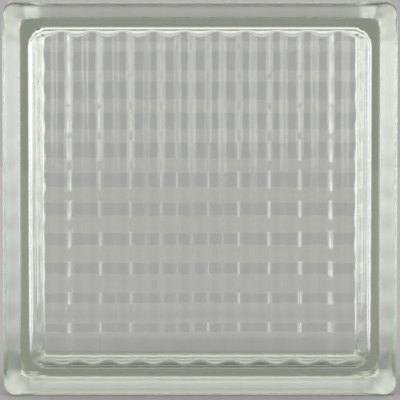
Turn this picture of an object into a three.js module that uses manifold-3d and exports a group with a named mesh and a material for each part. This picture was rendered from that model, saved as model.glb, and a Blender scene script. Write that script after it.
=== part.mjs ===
// Hollow glass block with crossed ribs, for a wall laid in mortar.
//
// Two identical pressed glass dishes are fused rim to rim at mid-depth, which seals the air
// between them. Each dish has a flat face, a flange with a rounded arris around it, a side wall
// set back from the flange to leave a channel for mortar, and ribs pressed inside its face plate.
// The rear dish is turned a quarter turn, so its ribs cross those of the front one.
//
// Millimetres, +Z up. The origin is the middle of the underside. The front face looks along -Y.

import * as THREE from 'three';
import { mergeVertices } from 'three/addons/utils/BufferGeometryUtils.js';
import Module from 'manifold-3d';

const wasm = await Module();
wasm.setup();

// Driving dimensions
const faceSide = 190;           // each side of the square face
const blockDepth = 80;          // from face to face
const flangeCornerRadius = 5.5; // corner of the flange, seen from the front
const arrisRadius = 2.5;        // rounded edge around the face
const rimWidth = 7;             // flat band of the flange, from the arris towards the channel
const shoulderLength = 6;       // depth over which the flange slopes to the channel floor
const channelDepth = 8;         // mortar channel, measured in from the rim
const channelCornerRadius = 6;  // corner of the channel floor, seen from the front
const wallThickness = 4;        // side wall where it leaves the fillet
const wallDraft = 0.6;          // how much thinner the side wall is at the seam
const plateThickness = 10;      // face plate, at the middle height of its ribs
const ribPitch = 14.8;          // from crest to crest
const ribHeight = 1.8;          // from valley to crest
const filletRadius = 6.2;       // between the face plate and the side wall, inside
const cavityCornerRadius = 9.5; // corner of the cavity's wall, seen from the front
const seamBeadHeight = 0.3;     // how far the fused seam stands out of the wall, on each side
const seamBeadWidth = 6.4;      // the seam's bead from edge to edge, half of it on each dish

// Fineness of the round shapes
const cornerSteps = 6;
const arrisSteps = 4;
const filletSteps = 6;
const beadSteps = 4;
const stepsPerRib = 10;

const rimHalf = faceSide / 2;
const dishDepth = blockDepth / 2;
const channelHalf = rimHalf - channelDepth;
const cavityHalf = channelHalf - wallThickness;
const cavitySeamHalf = cavityHalf + wallDraft;
const beadHalfWidth = seamBeadWidth / 2;
const valleyThickness = plateThickness - ribHeight / 2;
const openEnd = 1;              // how far the cavity's cutter runs out through the seam plane

// One level of a dish's outside or cavity: a rounded square at a depth behind the face
function level(depth, halfSide, cornerRadius) {
  return { depth, halfSide, cornerRadius };
}

function roundedSquare({ halfSide, cornerRadius }) {
  const outline = [];
  const centre = halfSide - cornerRadius;
  const quarter = Math.PI / 2;
  for (let corner = 0; corner < 4; corner++) {
    const toCorner = (corner + 0.5) * quarter;
    const centreX = centre * Math.sign(Math.cos(toCorner));
    const centreZ = centre * Math.sign(Math.sin(toCorner));
    for (let step = 0; step <= cornerSteps; step++) {
      const angle = (corner + step / cornerSteps) * quarter;
      outline.push(new THREE.Vector2(
        centreX + cornerRadius * Math.cos(angle),
        centreZ + cornerRadius * Math.sin(angle),
      ));
    }
  }
  return outline;
}

// A closed solid through rounded squares at rising depths, flat at both ends
function loft(levels) {
  const outlines = levels.map(roundedSquare);
  const count = outlines[0].length;
  const positions = [];
  outlines.forEach((outline, index) => {
    const y = levels[index].depth - dishDepth;
    outline.forEach((point) => positions.push(point.x, y, point.y));
  });

  const faces = [];
  for (let ring = 0; ring + 1 < outlines.length; ring++) {
    for (let point = 0; point < count; point++) {
      const next = (point + 1) % count;
      const near = ring * count;
      const far = near + count;
      faces.push(near + point, far + point, far + next);
      faces.push(near + point, far + next, near + next);
    }
  }
  const lastRing = (outlines.length - 1) * count;
  for (const [a, b, c] of THREE.ShapeUtils.triangulateShape(outlines[0], [])) {
    faces.push(a, b, c);
    faces.push(lastRing + a, lastRing + c, lastRing + b);
  }

  const geometry = new THREE.BufferGeometry();
  geometry.setAttribute('position', new THREE.Float32BufferAttribute(positions, 3));
  geometry.setIndex(faces);
  return geometry;
}

function toSolid(geometry) {
  const bare = geometry.clone();
  bare.deleteAttribute('normal');
  bare.deleteAttribute('uv');
  const merged = mergeVertices(bare, 1e-4);
  return new wasm.Manifold(new wasm.Mesh({
    numProp: 3,
    vertProperties: new Float32Array(merged.getAttribute('position').array),
    triVerts: new Uint32Array(merged.getIndex().array),
  }));
}

function toGeometry(solid) {
  const { vertProperties, triVerts, numProp } = solid.getMesh();
  const geometry = new THREE.BufferGeometry();
  geometry.setAttribute('position', new THREE.BufferAttribute(vertProperties, numProp));
  geometry.setIndex(new THREE.BufferAttribute(triVerts, 1));
  geometry.computeVertexNormals();
  return geometry;
}

// The outside: arris, flat rim, sloping shoulder, channel floor and half the seam's bead
function outsideLevels() {
  const levels = [];
  for (let step = 0; step <= arrisSteps; step++) {
    const angle = (step / arrisSteps) * Math.PI / 2;
    const inset = arrisRadius * (1 - Math.sin(angle));
    const depth = arrisRadius * (1 - Math.cos(angle));
    levels.push(level(depth, rimHalf - inset, flangeCornerRadius - inset));
  }
  const rimEnd = arrisRadius + rimWidth;
  levels.push(level(rimEnd, rimHalf, flangeCornerRadius));
  levels.push(level(rimEnd + shoulderLength, channelHalf, channelCornerRadius));
  for (let step = 0; step <= beadSteps; step++) {
    const along = step / beadSteps;
    const rise = seamBeadHeight * (1 - Math.cos(along * Math.PI)) / 2;
    const depth = dishDepth - beadHalfWidth * (1 - along);
    levels.push(level(depth, channelHalf + rise, channelCornerRadius + rise));
  }
  return levels;
}

// The cavity: a flat bottom at the ribs' valleys, the fillet, the drafted wall and half the bead
function cavityLevels() {
  const levels = [];
  for (let step = 0; step <= filletSteps; step++) {
    const angle = (step / filletSteps) * Math.PI / 2;
    const inset = filletRadius * (1 - Math.sin(angle));
    const depth = valleyThickness + filletRadius * (1 - Math.cos(angle));
    levels.push(level(depth, cavityHalf - inset, cavityCornerRadius - inset));
  }
  for (let step = 0; step <= beadSteps; step++) {
    const along = step / beadSteps;
    const rise = seamBeadHeight * (1 - Math.cos(along * Math.PI)) / 2;
    const depth = dishDepth - beadHalfWidth * (1 - along);
    levels.push(level(depth, cavitySeamHalf - rise, cavityCornerRadius + wallDraft - rise));
  }
  const seam = levels[levels.length - 1];
  levels.push(level(dishDepth + openEnd, seam.halfSide, seam.cornerRadius));
  return levels;
}

// Upright ribs as one wavy plate inside the face plate, running into the side walls. Its section is
// drawn across the block (X) and into it (Y). The middle of the face is a valley between two ribs.
function ribbedPlate() {
  const reach = cavityHalf + wallThickness / 2;
  const buried = valleyThickness - ribHeight;
  const steps = Math.ceil(reach / ribPitch * stepsPerRib);
  const stepLength = ribPitch / stepsPerRib;
  const section = new THREE.Shape();
  section.moveTo(-steps * stepLength, buried);
  section.lineTo(steps * stepLength, buried);
  for (let step = steps; step >= -steps; step--) {
    const x = step * stepLength;
    const swell = (ribHeight / 2) * Math.cos(2 * Math.PI * x / ribPitch);
    section.lineTo(x, plateThickness - swell);
  }
  section.closePath();
  const geometry = new THREE.ExtrudeGeometry(section, { depth: 2 * reach, bevelEnabled: false });
  geometry.translate(0, -dishDepth, -reach);
  return geometry;
}

// One pressed dish about the block's own middle: face at y = -dishDepth, seam plane at y = 0
function pressedDish() {
  const cavity = toSolid(loft(cavityLevels())).subtract(toSolid(ribbedPlate()));
  return toGeometry(toSolid(loft(outsideLevels())).subtract(cavity));
}

function glass() {
  return new THREE.MeshStandardMaterial({
    color: 0xd3dcd3,
    roughness: 0.05,
    metalness: 0,
    transparent: true,
    opacity: 0.35,
  });
}

function shell(name) {
  const mesh = new THREE.Mesh(pressedDish(), glass());
  mesh.name = name;
  return mesh;
}

const block = new THREE.Group();
block.position.z = faceSide / 2;

block.add(shell('front_shell'));

const rearShell = shell('rear_shell');
rearShell.rotation.y = Math.PI / 2;
const rearSide = new THREE.Group();
rearSide.rotation.z = Math.PI;
rearSide.add(rearShell);
block.add(rearSide);

export default block;
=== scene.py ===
import math

import bpy
import numpy as np
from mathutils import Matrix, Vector


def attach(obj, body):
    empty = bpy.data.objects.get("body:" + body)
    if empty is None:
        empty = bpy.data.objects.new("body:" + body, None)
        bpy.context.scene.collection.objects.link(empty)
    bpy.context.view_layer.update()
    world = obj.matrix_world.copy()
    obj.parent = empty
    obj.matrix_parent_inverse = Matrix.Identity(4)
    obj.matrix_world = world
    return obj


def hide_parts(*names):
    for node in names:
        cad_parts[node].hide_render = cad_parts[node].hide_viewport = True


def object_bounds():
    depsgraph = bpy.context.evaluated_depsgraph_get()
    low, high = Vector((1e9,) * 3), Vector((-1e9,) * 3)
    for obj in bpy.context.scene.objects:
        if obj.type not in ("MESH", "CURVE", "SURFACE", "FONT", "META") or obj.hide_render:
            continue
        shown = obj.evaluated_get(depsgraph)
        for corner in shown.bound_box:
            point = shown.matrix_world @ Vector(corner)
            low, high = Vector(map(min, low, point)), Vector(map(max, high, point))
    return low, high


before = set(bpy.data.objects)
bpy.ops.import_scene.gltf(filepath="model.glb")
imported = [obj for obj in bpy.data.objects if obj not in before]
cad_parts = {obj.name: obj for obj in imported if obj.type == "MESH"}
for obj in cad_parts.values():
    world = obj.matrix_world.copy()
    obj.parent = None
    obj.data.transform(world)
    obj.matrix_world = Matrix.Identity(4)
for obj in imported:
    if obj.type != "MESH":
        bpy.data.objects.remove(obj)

cadLow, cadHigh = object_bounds()
middle = (cadLow + cadHigh) / 2

# Everything is in metres. The overall sizes come from the frame, the section of the glass follows.
glass = {
    "faceSide": cadHigh.x - cadLow.x,
    "blockDepth": cadHigh.y - cadLow.y,
    "flangeCorner": 0.0055,
    "arris": 0.0025,
    "faceInset": 1.3,         # first ring of the flat face, in arris widths from the rim
    "rimWidth": 0.007,
    "shoulderLength": 0.006,
    "shoulderRound": 0.15,    # share of the shoulder that rounds into its slope at each end
    "channelDepth": 0.008,
    "channelCorner": 0.006,
    "wall": 0.004,
    "wallDraft": 0.0006,
    "plate": 0.010,
    "ribPitch": 0.0148,
    "ribHeight": 0.0018,
    "ribMelt": 0.0008,        # rounding where a rib runs out into the fillet
    "fillet": 0.0062,
    "cavityCorner": 0.0095,
    "beadHeight": 0.0003,
    "beadWidth": 0.0064,
    "cornerSteps": 16,        # half of them on each side of the corner's middle
    "plainSteps": 20,         # along a side that has no ribs to follow
    "ribSteps": 160,          # along a side that crosses the ribs
    "arrisSteps": 8,
    "shoulderSteps": 16,
    "filletSteps": 22,
    "beadSteps": 8,
}


def report(stage):
    print("glass block:", stage)


# A ring is a rounded square seen from the front. Its four sides each run from the middle of one
# corner to the middle of the next, so that a ring can also be the rim of a plain grid.
def sideOfRing(half, corner, steps, cornerSteps):
    centre = half - corner
    turns = np.linspace(math.pi / 4, 0, cornerSteps // 2, endpoint=False)
    rounding = [(centre + corner * math.sin(t), -centre - corner * math.cos(t)) for t in turns]
    straight = [(x, -half) for x in np.linspace(-centre, centre, steps + 1)]
    return [(-x, z) for x, z in rounding] + straight + rounding[:0:-1]


def addRing(verts, layout, y, half, corner):
    first = len(verts)
    acrossSteps, upSteps, cornerSteps = layout
    for quarter, steps in enumerate((acrossSteps, upSteps, acrossSteps, upSteps)):
        c, s = ((1, 0), (0, 1), (-1, 0), (0, -1))[quarter]
        for x, z in sideOfRing(half, corner, steps, cornerSteps):
            verts.append((middle.x + x * c - z * s, y, middle.z + x * s + z * c))
    return list(range(first, len(verts)))


def sidesOfLoop(loop, layout):
    acrossSteps, upSteps, cornerSteps = layout
    sides, start = [], 0
    for steps in (acrossSteps, upSteps, acrossSteps, upSteps):
        end = start + steps + cornerSteps
        sides.append((loop + loop[:1])[start:end + 1])
        start = end
    return sides


def bridge(faces, near, far):
    for i in range(len(near)):
        j = (i + 1) % len(near)
        faces.append((near[i], near[j], far[j], far[i]))


# Joins two rings whose sides are split into unlike numbers of steps.
def zipRings(faces, near, nearLayout, far, farLayout):
    for a, b in zip(sidesOfLoop(near, nearLayout), sidesOfLoop(far, farLayout)):
        i = j = 0
        while i < len(a) - 1 or j < len(b) - 1:
            nextA = (i + 1) / (len(a) - 1)
            nextB = (j + 1) / (len(b) - 1)
            if nextA <= nextB:
                faces.append((a[i], a[i + 1], b[j]))
                i += 1
            else:
                faces.append((a[i], b[j + 1], b[j]))
                j += 1


# Closes a ring with a grid whose inner points are blended from its four sides.
def addCap(verts, faces, loop, layout, flip):
    bottom, right, top, left = sidesOfLoop(loop, layout)
    top, left = top[::-1], left[::-1]
    across, up = len(bottom) - 1, len(left) - 1
    index = np.zeros((up + 1, across + 1), dtype=int)
    index[0], index[-1], index[:, 0], index[:, -1] = bottom, top, left, right
    b, t, l, r = ([np.array(verts[i]) for i in side] for side in (bottom, top, left, right))
    for j in range(1, up):
        v = j / up
        for i in range(1, across):
            u = i / across
            ends = (1 - u) * ((1 - v) * b[0] + v * t[0]) + u * ((1 - v) * b[-1] + v * t[-1])
            spot = (1 - v) * b[i] + v * t[i] + (1 - u) * l[j] + u * r[j] - ends
            index[j, i] = len(verts)
            verts.append(tuple(spot))
    for j in range(up):
        for i in range(across):
            quad = (index[j, i], index[j, i + 1], index[j + 1, i + 1], index[j + 1, i])
            faces.append(quad[::-1] if flip else quad)


def makeMesh(name, verts, faces):
    mesh = bpy.data.meshes.new(name)
    mesh.from_pydata([tuple(v) for v in verts], [], [tuple(map(int, f)) for f in faces])
    mesh.validate()
    return mesh


def swell(along):
    return (1 - math.cos(math.pi * along)) / 2


# A straight slope from 0 to 1 that eases in and out over the given share of its length.
def easedSlope(along, ease):
    if along < ease:
        return along ** 2 / (2 * ease * (1 - ease))
    if along > 1 - ease:
        return 1 - (1 - along) ** 2 / (2 * ease * (1 - ease))
    return (along - ease / 2) / (1 - ease)


# Depth behind the face, half side and corner radius of each ring, from the face to the seam.
def outsideRings(g):
    half = g["faceSide"] / 2
    floorHalf = half - g["channelDepth"]
    seamDepth = g["blockDepth"] / 2
    rings = [(0, half - g["faceInset"] * g["arris"], g["flangeCorner"] - g["arris"])]
    for step in range(g["arrisSteps"] + 1):
        turn = step / g["arrisSteps"] * math.pi / 2
        inset = g["arris"] * (1 - math.sin(turn))
        rings.append((g["arris"] * (1 - math.cos(turn)), half - inset, g["flangeCorner"] - inset))
    rimEnd = g["arris"] + g["rimWidth"]
    for step in range(g["shoulderSteps"] + 1):
        along = step / g["shoulderSteps"]
        fall = easedSlope(along, g["shoulderRound"])
        corner = g["flangeCorner"] + fall * (g["channelCorner"] - g["flangeCorner"])
        rings.append((rimEnd + along * g["shoulderLength"], half - fall * g["channelDepth"], corner))
    for step in range(g["beadSteps"] + 1):
        rise = g["beadHeight"] * swell(step / g["beadSteps"])
        depth = seamDepth - g["beadWidth"] / 2 * (1 - step / g["beadSteps"])
        rings.append((depth, floorHalf + rise, g["channelCorner"] + rise))
    return rings


def cavityRings(g):
    wallHalf = g["faceSide"] / 2 - g["channelDepth"] - g["wall"]
    seamDepth = g["blockDepth"] / 2
    valley = g["plate"] - g["ribHeight"] / 2
    rings = []
    for step in range(g["filletSteps"] + 1):
        turn = step / g["filletSteps"] * math.pi / 2
        inset = g["fillet"] * (1 - math.sin(turn))
        depth = valley + g["fillet"] * (1 - math.cos(turn))
        rings.append((depth, wallHalf - inset, g["cavityCorner"] - inset))
    for step in range(g["beadSteps"] + 1):
        rise = g["beadHeight"] * swell(step / g["beadSteps"])
        depth = seamDepth - g["beadWidth"] / 2 * (1 - step / g["beadSteps"])
        corner = g["cavityCorner"] + g["wallDraft"] - rise
        rings.append((depth, wallHalf + g["wallDraft"] - rise, corner))
    return rings


# One closed skin: the rings of the front dish, then those of the rear dish in reverse.
def closedSkin(name, rings, frontLayout, rearLayout):
    verts, faces = [], []
    frontLoops = [addRing(verts, frontLayout, cadLow.y + d, h, c) for d, h, c in rings]
    rearLoops = [addRing(verts, rearLayout, cadHigh.y - d, h, c) for d, h, c in rings[:-1]]
    addCap(verts, faces, frontLoops[0], frontLayout, False)
    for near, far in zip(frontLoops, frontLoops[1:]):
        bridge(faces, far, near)
    zipRings(faces, rearLoops[-1], rearLayout, frontLoops[-1], frontLayout)
    for near, far in zip(rearLoops, rearLoops[1:]):
        bridge(faces, near, far)
    addCap(verts, faces, rearLoops[0], rearLayout, True)
    return makeMesh(name, verts, faces)


# Gives a node tree its own shorthand for sums: each value is a number or the socket that feeds it.
def mathsIn(nodes, link):
    def maths(operation, *values):
        node = nodes.new("ShaderNodeMath")
        node.operation = operation
        for socket, value in zip(node.inputs, values):
            if isinstance(value, (int, float)):
                socket.default_value = value
            else:
                link(value, socket)
        return node.outputs[0]
    return maths


# Presses ribs into one face plate: every point that lies shallower than the wave sinks to it.
def ribTree():
    tree = bpy.data.node_groups.new("pressedRibs", "GeometryNodeTree")
    sockets = {}
    face = tree.interface
    sockets["Geometry"] = face.new_socket("Geometry", in_out="INPUT", socket_type="NodeSocketGeometry")
    face.new_socket("Geometry", in_out="OUTPUT", socket_type="NodeSocketGeometry")
    for name, kind in (
        ("Middle", "NodeSocketVector"),
        ("Across Ribs", "NodeSocketVector"),
        ("Inward", "NodeSocketFloat"),
        ("Half Depth", "NodeSocketFloat"),
        ("Plate", "NodeSocketFloat"),
        ("Rib Pitch", "NodeSocketFloat"),
        ("Rib Height", "NodeSocketFloat"),
        ("Melt", "NodeSocketFloat"),
        ("Glass", "NodeSocketMaterial"),
    ):
        sockets[name] = face.new_socket(name, in_out="INPUT", socket_type=kind)
    nodes, link = tree.nodes, tree.links.new
    given = nodes.new("NodeGroupInput").outputs
    result = nodes.new("NodeGroupOutput")

    maths = mathsIn(nodes, link)

    def vectors(operation, *values):
        node = nodes.new("ShaderNodeVectorMath")
        node.operation = operation
        for socket, value in zip(node.inputs, values):
            link(value, socket)
        return node.outputs

    spot = vectors("SUBTRACT", nodes.new("GeometryNodeInputPosition").outputs[0], given["Middle"])[0]
    across = vectors("DOT_PRODUCT", spot, given["Across Ribs"])["Value"]
    turn = maths("MULTIPLY", maths("DIVIDE", across, given["Rib Pitch"]), 2 * math.pi)
    halfHeight = maths("DIVIDE", given["Rib Height"], 2.0)
    wave = maths("SUBTRACT", given["Plate"], maths("MULTIPLY", maths("COSINE", turn), halfHeight))

    split = nodes.new("ShaderNodeSeparateXYZ")
    link(spot, split.inputs[0])
    signed = maths("MULTIPLY", split.outputs["Y"], given["Inward"])
    depth = maths("ADD", signed, given["Half Depth"])
    pressed = maths("SMOOTH_MAX", depth, wave, given["Melt"])
    shift = maths("MULTIPLY", maths("SUBTRACT", pressed, depth), given["Inward"])
    offset = nodes.new("ShaderNodeCombineXYZ")
    link(shift, offset.inputs["Y"])

    place = nodes.new("GeometryNodeSetPosition")
    link(given["Geometry"], place.inputs["Geometry"])
    link(offset.outputs[0], place.inputs["Offset"])
    realize = nodes.new("GeometryNodeRealizeInstances")
    link(place.outputs[0], realize.inputs[0])
    dress = nodes.new("GeometryNodeSetMaterial")
    link(realize.outputs[0], dress.inputs["Geometry"])
    link(given["Glass"], dress.inputs["Material"])
    link(dress.outputs[0], result.inputs[0])
    return tree, {name: socket.identifier for name, socket in sockets.items()}


def pressRibs(obj, tree, identifiers, across, inward, material):
    modifier = obj.modifiers.new("ribs", "NODES")
    modifier.node_group = tree
    settings = {
        "Middle": tuple(middle),
        "Across Ribs": across,
        "Inward": inward,
        "Half Depth": glass["blockDepth"] / 2,
        "Plate": glass["plate"],
        "Rib Pitch": glass["ribPitch"],
        "Rib Height": glass["ribHeight"],
        "Melt": glass["ribMelt"],
        "Glass": material,
    }
    for name, value in settings.items():
        modifier[identifiers[name]] = value


def applied(obj):
    graph = bpy.context.evaluated_depsgraph_get()
    mesh = bpy.data.meshes.new_from_object(obj.evaluated_get(graph))
    obj.modifiers.clear()
    return mesh


def vertsAndFaces(mesh):
    return [tuple(v.co) for v in mesh.vertices], [tuple(p.vertices) for p in mesh.polygons]


finish = {
    "ior": 1.52,
    "roughness": 0.0,
    "shoulderRoughness": 0.32,  # satin where the mould was cut, on the slope to the channel
    "satinClear": 0.0002,       # the satin stays this far off the channel floor
    "absorbColour": (0.73, 0.79, 0.68, 1.0),
    "absorbDensity": 26.0,
    "streakScale": 900.0,       # about one streak a millimetre
    "grainDetail": 2.0,
    "streakStretch": 0.02,
    "streakHeight": 0.00008,
    "rippleScale": 55.0,
    "rippleHeight": 0.00002,
}


# Fine pressed relief: streaks along the ribs, left by the mould, and a slow ripple of the whole skin
def pressedRelief(nodes, link, place, split, depthIn):
    maths = mathsIn(nodes, link)

    def grain(stretch, scale):
        squash = nodes.new("ShaderNodeVectorMath")
        squash.operation = "MULTIPLY"
        link(place, squash.inputs[0])
        squash.inputs[1].default_value = stretch
        noise = nodes.new("ShaderNodeTexNoise")
        noise.inputs["Scale"].default_value = scale
        noise.inputs["Detail"].default_value = finish["grainDetail"]
        link(squash.outputs[0], noise.inputs["Vector"])
        return maths("SUBTRACT", noise.outputs[0], 0.5)

    fine, along = finish["streakScale"], finish["streakStretch"]
    upright = grain((1, 0, along), fine)
    level = grain((along, 0, 1), fine)
    behind = maths("GREATER_THAN", split.outputs["Y"], middle.y)
    streak = maths("ADD", maths("MULTIPLY", level, behind),
                   maths("MULTIPLY", upright, maths("SUBTRACT", 1.0, behind)))
    ribFace = glass["blockDepth"] / 2 - glass["plate"]
    onRibs = maths("LESS_THAN", maths("ABSOLUTE", maths("SUBTRACT", depthIn, ribFace)), glass["ribHeight"])
    streak = maths("MULTIPLY", maths("MULTIPLY", streak, onRibs), finish["streakHeight"])
    ripple = maths("MULTIPLY", grain((1, 1, 1), finish["rippleScale"]), finish["rippleHeight"])
    relief = nodes.new("ShaderNodeBump")
    relief.inputs["Distance"].default_value = 1.0
    link(maths("ADD", streak, ripple), relief.inputs["Height"])
    return relief.outputs["Normal"]


def glassMaterial():
    material = bpy.data.materials.new("pressedGlass")
    material.use_nodes = True
    nodes, link = material.node_tree.nodes, material.node_tree.links.new
    nodes.clear()
    output = nodes.new("ShaderNodeOutputMaterial")
    surface = nodes.new("ShaderNodeBsdfPrincipled")
    surface.inputs["Base Color"].default_value = (1, 1, 1, 1)
    place = nodes.new("ShaderNodeTexCoord").outputs["Object"]
    split = nodes.new("ShaderNodeSeparateXYZ")
    link(place, split.inputs[0])

    maths = mathsIn(nodes, link)

    sideways = maths("ABSOLUTE", maths("SUBTRACT", split.outputs["X"], middle.x))
    upright = maths("ABSOLUTE", maths("SUBTRACT", split.outputs["Z"], middle.z))
    across = maths("ABSOLUTE", maths("SUBTRACT", split.outputs["Y"], middle.y))
    reach = glass["faceSide"] / 2 - glass["channelDepth"]
    start = glass["blockDepth"] / 2 - glass["arris"] - glass["rimWidth"]
    onShoulder = maths("GREATER_THAN", maths("MAXIMUM", sideways, upright), reach + finish["satinClear"])
    onShoulder = maths("MULTIPLY", onShoulder, maths("LESS_THAN", across, start))
    onShoulder = maths("MULTIPLY", onShoulder, maths("GREATER_THAN", across, start - glass["shoulderLength"]))
    rough = maths("MULTIPLY", onShoulder, finish["shoulderRoughness"] - finish["roughness"])
    link(maths("ADD", rough, finish["roughness"]), surface.inputs["Roughness"])
    link(pressedRelief(nodes, link, place, split, across), surface.inputs["Normal"])
    surface.inputs["IOR"].default_value = finish["ior"]
    surface.inputs["Transmission Weight"].default_value = 1.0
    link(surface.outputs[0], output.inputs["Surface"])
    tint = nodes.new("ShaderNodeVolumeAbsorption")
    tint.inputs["Color"].default_value = finish["absorbColour"]
    tint.inputs["Density"].default_value = finish["absorbDensity"]
    link(tint.outputs[0], output.inputs["Volume"])
    return material


def makeBlock():
    plain = (glass["plainSteps"], glass["plainSteps"], glass["cornerSteps"])
    uprightRibs = (glass["ribSteps"], glass["plainSteps"], glass["cornerSteps"])
    levelRibs = (glass["plainSteps"], glass["ribSteps"], glass["cornerSteps"])
    material = glassMaterial()
    outside = closedSkin("outside", outsideRings(glass), plain, plain)
    report("outside made")

    cavity = bpy.data.objects.new("cavity", closedSkin("cavity", cavityRings(glass), uprightRibs, levelRibs))
    bpy.context.scene.collection.objects.link(cavity)
    tree, identifiers = ribTree()
    pressRibs(cavity, tree, identifiers, (1, 0, 0), 1.0, material)
    pressRibs(cavity, tree, identifiers, (0, 0, 1), -1.0, material)
    ribbed = applied(cavity)
    bpy.data.objects.remove(cavity)
    report("ribs pressed")

    verts, faces = vertsAndFaces(outside)
    innerVerts, innerFaces = vertsAndFaces(ribbed)
    start = len(verts)
    faces += [tuple(start + i for i in reversed(f)) for f in innerFaces]
    mesh = makeMesh("glassBlock", verts + innerVerts, faces)
    for spare in (outside, ribbed):
        bpy.data.meshes.remove(spare)
    mesh.materials.append(material)
    mesh.shade_smooth()
    block = bpy.data.objects.new("glassBlock", mesh)
    bpy.context.scene.collection.objects.link(block)
    return block


block = makeBlock()
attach(block, "root")
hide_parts("front_shell", "rear_shell")
report("block joined")


studio = {
    "cameraAzimuth": -0.3,
    "cameraElevation": 5.35,
    "cameraDistance": 2.15,
    "viewWidth": 0.1925,       # what the frame's width takes in at the block's front face
    "tableSide": 0.20,         # the pale table top, from its middle line to its left and right ends
    "tableBack": 1.2,          # from the rear face of the block
    "tableFront": 0.6,         # from its front face
    "tableGap": 0.0002,        # keeps the table clear of the underside
    "tableColour": (0.433, 0.425, 0.448, 1),
    "room": (1.0, 1.0, 1.0, 1),
    "overhead": (1.15, 1.13, 1.02, 1),
    "overheadFrom": 0.4,       # the room turns into the ceiling between these heights
    "overheadFull": 0.75,
    "cameraSide": (0.5, 0.5, 0.5, 1),  # a dimmer room behind the camera
    "cameraSideFrom": 140,     # degrees to either side of straight behind the block
    "cameraSideSoft": 5,
}

# Soft-edged screens around the block. Azimuth is in degrees, 0 straight behind the block and
# positive to the right; low and high are heights on the unit sphere, and a low of -2 leaves no
# lower edge. Later screens cover earlier ones.
screens = {
    "rightWall": {"from": 35, "to": 112, "low": -2, "high": 0.5, "soft": 12, "softHeight": 0.2,
                  "colour": (1.12, 1.12, 1.12, 1)},
    "backdrop": {"from": -13.1, "to": 13.3, "low": -2, "high": 0.21, "soft": 3, "softHeight": 0.05,
                 "colour": (0.424, 0.413, 0.424, 1)},
    "leftWall": {"from": -45, "to": -18, "low": -2, "high": 0.5, "soft": 4, "softHeight": 0.2,
                 "colour": (1.2, 1.2, 1.2, 1)},
    "left": {"from": -142, "to": -92, "low": -0.0855, "high": 0.30, "soft": 3, "softHeight": 0.005,
             "colour": (4.0, 4.0, 4.0, 1)},
    "right": {"from": 114, "to": 132, "low": -0.081, "high": 0.30, "soft": 3, "softHeight": 0.005,
              "colour": (4.1, 4.2, 4.4, 1)},
}


def makeCamera():
    data = bpy.data.cameras.new("camera")
    camera = bpy.data.objects.new("camera", data)
    bpy.context.scene.collection.objects.link(camera)
    azimuth = math.radians(studio["cameraAzimuth"])
    elevation = math.radians(studio["cameraElevation"])
    back = Vector((
        math.sin(azimuth) * math.cos(elevation),
        -math.cos(azimuth) * math.cos(elevation),
        math.sin(elevation),
    ))
    target = Vector((middle.x, cadLow.y, middle.z))
    camera.location = target + back * studio["cameraDistance"]
    camera.rotation_mode = "QUATERNION"
    camera.rotation_quaternion = (-back).to_track_quat("-Z", "Y")
    data.sensor_width = 36
    data.lens = data.sensor_width * studio["cameraDistance"] / studio["viewWidth"]
    data.clip_start = 0.01
    data.clip_end = 50
    bpy.context.scene.camera = camera


def makeWorld():
    world = bpy.data.worlds.new("studio")
    world.use_nodes = True
    bpy.context.scene.world = world
    nodes, link = world.node_tree.nodes, world.node_tree.links.new

    maths = mathsIn(nodes, link)

    def ramp(value, start, end):
        node = nodes.new("ShaderNodeMapRange")
        node.interpolation_type = "SMOOTHSTEP"
        link(value, node.inputs["Value"])
        node.inputs["From Min"].default_value = start
        node.inputs["From Max"].default_value = end
        return node.outputs["Result"]

    def blend(factor, first, second):
        node = nodes.new("ShaderNodeMix")
        node.data_type = "RGBA"
        link(factor, node.inputs["Factor"])
        for socket, value in zip(node.inputs[6:8], (first, second)):
            if isinstance(value, tuple):
                socket.default_value = value
            else:
                link(value, socket)
        return node.outputs[2]

    direction = nodes.new("ShaderNodeTexCoord").outputs["Generated"]
    split = nodes.new("ShaderNodeSeparateXYZ")
    link(direction, split.inputs[0])
    x, y, height = split.outputs
    azimuth = maths("MULTIPLY", maths("ARCTAN2", x, y), 180 / math.pi)
    start, soft = studio["cameraSideFrom"], studio["cameraSideSoft"]
    behindCamera = ramp(maths("ABSOLUTE", azimuth), start - soft, start + soft)
    light = blend(behindCamera, studio["room"], studio["cameraSide"])
    light = blend(ramp(height, studio["overheadFrom"], studio["overheadFull"]), light, studio["overhead"])
    for screen in screens.values():
        soft, softHeight = screen["soft"], screen["softHeight"]
        wide = maths("MULTIPLY", ramp(azimuth, screen["from"] - soft, screen["from"] + soft),
                     ramp(azimuth, screen["to"] + soft, screen["to"] - soft))
        tall = maths("MULTIPLY", ramp(height, screen["low"] - softHeight, screen["low"] + softHeight),
                     ramp(height, screen["high"] + softHeight, screen["high"] - softHeight))
        light = blend(maths("MULTIPLY", wide, tall), light, screen["colour"])
    link(light, nodes["Background"].inputs["Color"])


def makeTable():
    left, right = middle.x - studio["tableSide"], middle.x + studio["tableSide"]
    front, back = cadLow.y - studio["tableFront"], cadHigh.y + studio["tableBack"]
    top = cadLow.z - studio["tableGap"]
    mesh = bpy.data.meshes.new("table")
    corners = [(left, front, top), (right, front, top), (right, back, top), (left, back, top)]
    mesh.from_pydata(corners, [], [(0, 1, 2, 3)])
    material = bpy.data.materials.new("paleTable")
    material.use_nodes = True
    surface = material.node_tree.nodes["Principled BSDF"]
    surface.inputs["Base Color"].default_value = studio["tableColour"]
    surface.inputs["Roughness"].default_value = 1.0
    surface.inputs["Specular IOR Level"].default_value = 0.0
    mesh.materials.append(material)
    table = bpy.data.objects.new("table", mesh)
    bpy.context.scene.collection.objects.link(table)


makeCamera()
makeWorld()
makeTable()
report("studio set")

bpy.context.scene.view_settings.view_transform = "Standard"
# A ray crosses many skins of glass before it leaves, and the light under the block comes through it.
cycles = bpy.context.scene.cycles
cycles.max_bounces = 96
cycles.transmission_bounces = 96
cycles.glossy_bounces = 96
cycles.caustics_refractive = True
cycles.caustics_reflective = True
